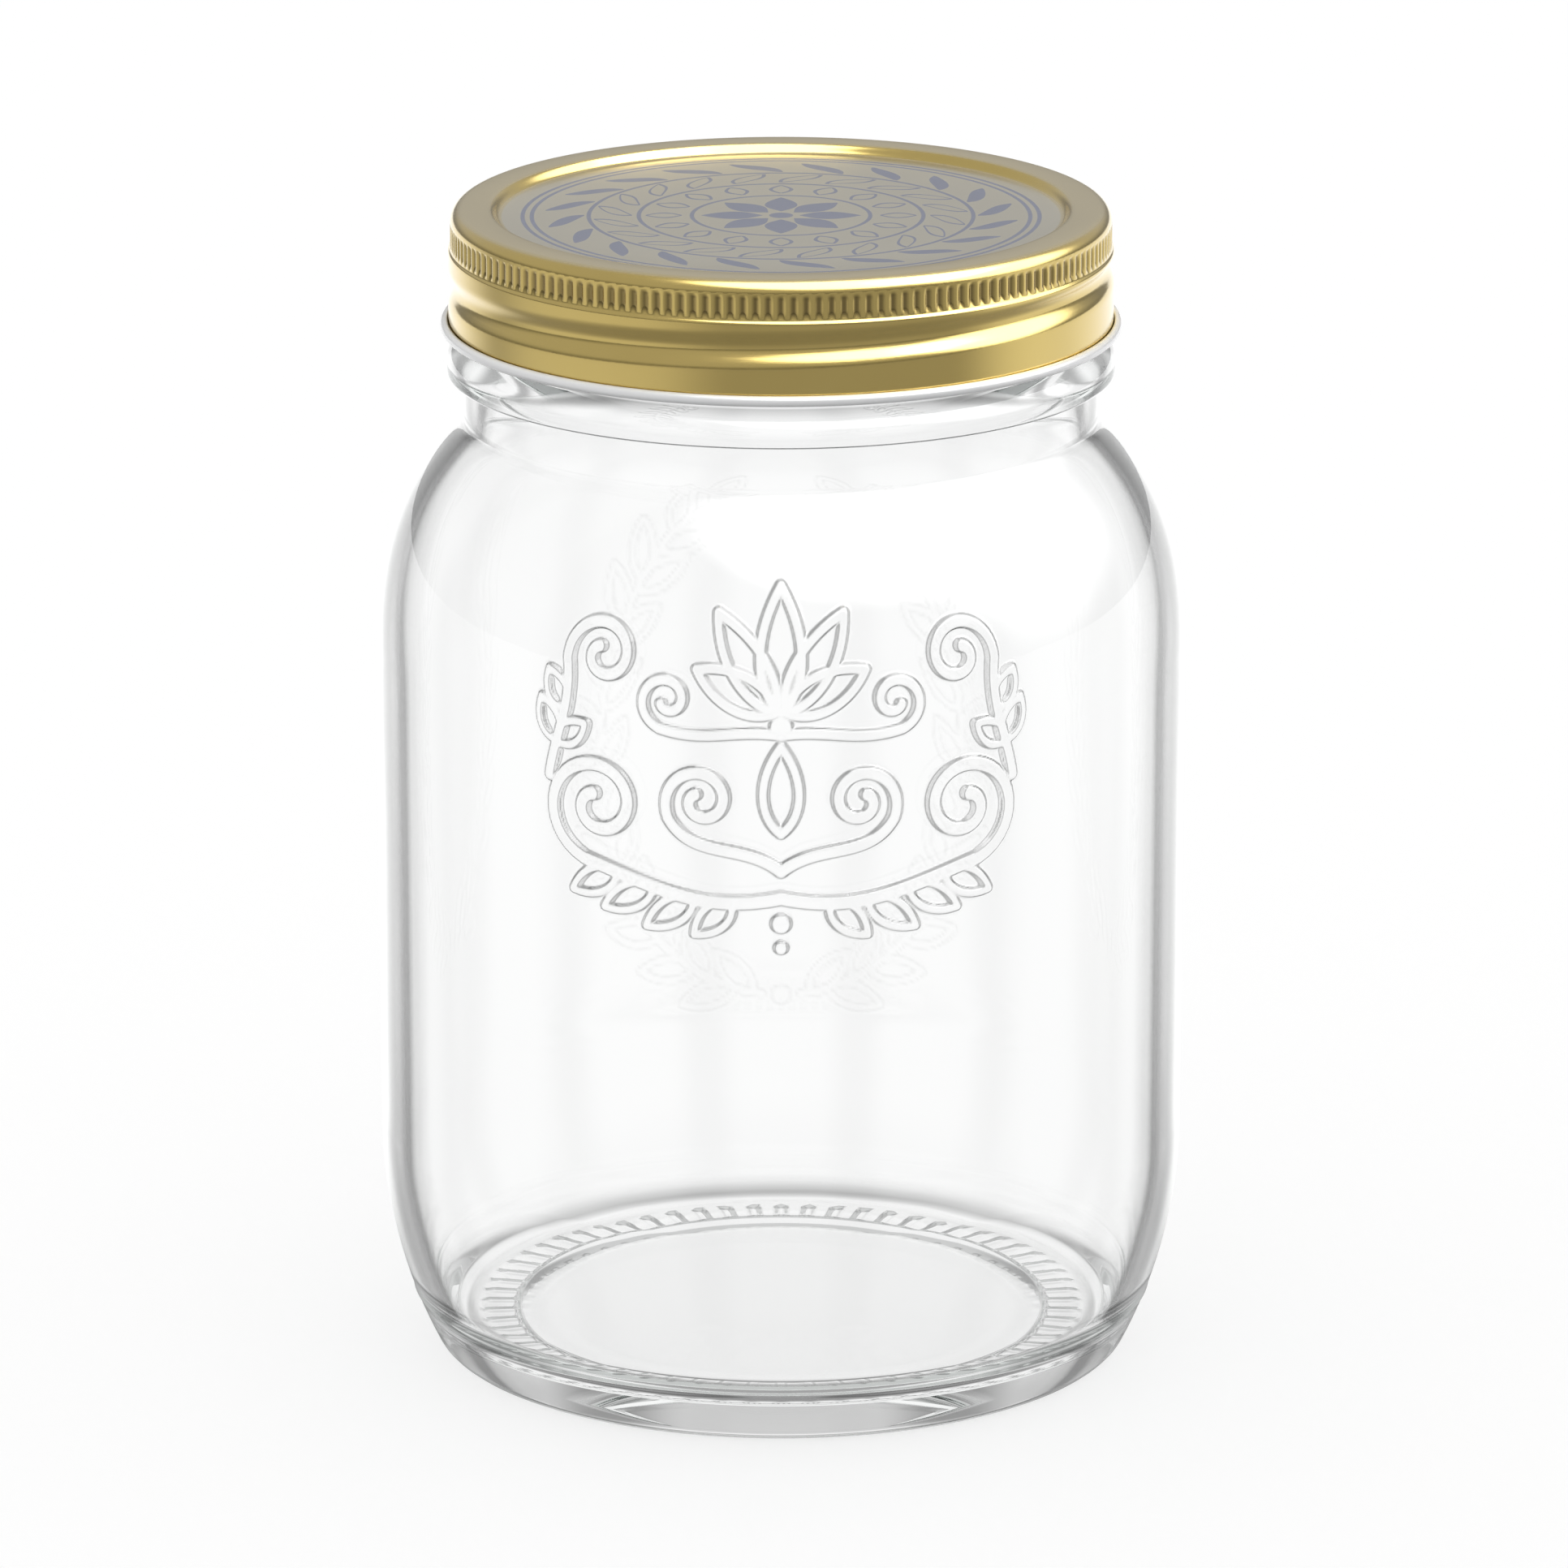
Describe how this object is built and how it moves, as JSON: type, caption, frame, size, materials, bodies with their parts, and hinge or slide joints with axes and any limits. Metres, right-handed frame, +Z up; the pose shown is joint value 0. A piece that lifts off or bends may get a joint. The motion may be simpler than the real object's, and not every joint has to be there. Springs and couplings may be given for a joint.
{
  "type": "glass preserving jar with screw cap",
  "caption": "Empty round clear glass preserving jar with a broad body, a rounded shoulder, a short neck with a bead, and a closed gold metal screw cap with a knurled band.",
  "frame": {"origin": "centre of the base, on the plane that the jar stands on", "axes": "+Z up along the jar's axis; the raised ornament faces -Y, and +X is to the right of it seen from the front"},
  "size_m": [0.106, 0.106, 0.154],
  "materials": {
    "glass": "clear polished soda-lime glass",
    "gold_tinplate": "satin gold lacquer on tinplate"
  },
  "bodies": {
    "root": {"jar_glass": "glass", "screw_cap": "gold_tinplate"}
  },
  "joints": []
}
